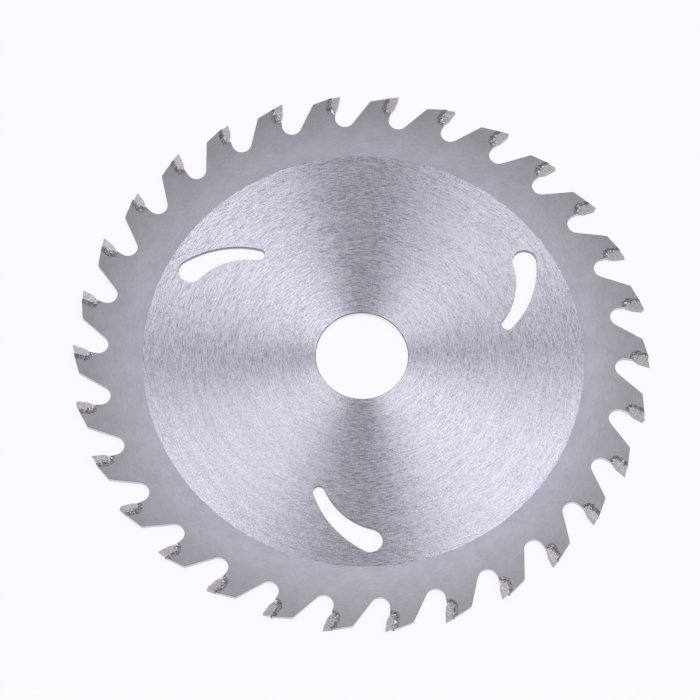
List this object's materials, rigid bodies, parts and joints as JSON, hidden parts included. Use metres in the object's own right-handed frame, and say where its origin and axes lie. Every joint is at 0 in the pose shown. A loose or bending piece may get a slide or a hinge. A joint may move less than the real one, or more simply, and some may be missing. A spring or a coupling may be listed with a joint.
{
  "type": "circular saw blade",
  "caption": "Flat round saw blade with a central bore, expansion slots and hooked teeth with brazed carbide tips.",
  "frame": {"origin": "centre of the bore, half way through the plate", "axes": "+Z along the blade's axis, out of the upper face; one cutting edge lies on +Y, and the teeth cut clockwise seen from +Z"},
  "size_m": [0.1244, 0.125, 0.002],
  "materials": {
    "ground_steel": "faces ground in fine circles out to three quarters of the radius, matt blasted outside that",
    "tungsten_carbide": "ground, satin",
    "silver_braze": "cast, uneven, darkened by the flame, with bright beads"
  },
  "bodies": {
    "root": {"saw_plate": "ground_steel", "carbide_tip_01": "tungsten_carbide", "carbide_tip_02": "tungsten_carbide", "carbide_tip_03": "tungsten_carbide", "carbide_tip_04": "tungsten_carbide", "carbide_tip_05": "tungsten_carbide", "carbide_tip_06": "tungsten_carbide", "carbide_tip_07": "tungsten_carbide", "carbide_tip_08": "tungsten_carbide", "carbide_tip_09": "tungsten_carbide", "carbide_tip_10": "tungsten_carbide", "carbide_tip_11": "tungsten_carbide", "carbide_tip_12": "tungsten_carbide", "carbide_tip_13": "tungsten_carbide", "carbide_tip_14": "tungsten_carbide", "carbide_tip_15": "tungsten_carbide", "carbide_tip_16": "tungsten_carbide", "carbide_tip_17": "tungsten_carbide", "carbide_tip_18": "tungsten_carbide", "carbide_tip_19": "tungsten_carbide", "carbide_tip_20": "tungsten_carbide", "carbide_tip_21": "tungsten_carbide", "carbide_tip_22": "tungsten_carbide", "carbide_tip_23": "tungsten_carbide", "carbide_tip_24": "tungsten_carbide", "carbide_tip_25": "tungsten_carbide", "carbide_tip_26": "tungsten_carbide", "carbide_tip_27": "tungsten_carbide", "carbide_tip_28": "tungsten_carbide", "carbide_tip_29": "tungsten_carbide", "carbide_tip_30": "tungsten_carbide"}
  },
  "joints": []
}
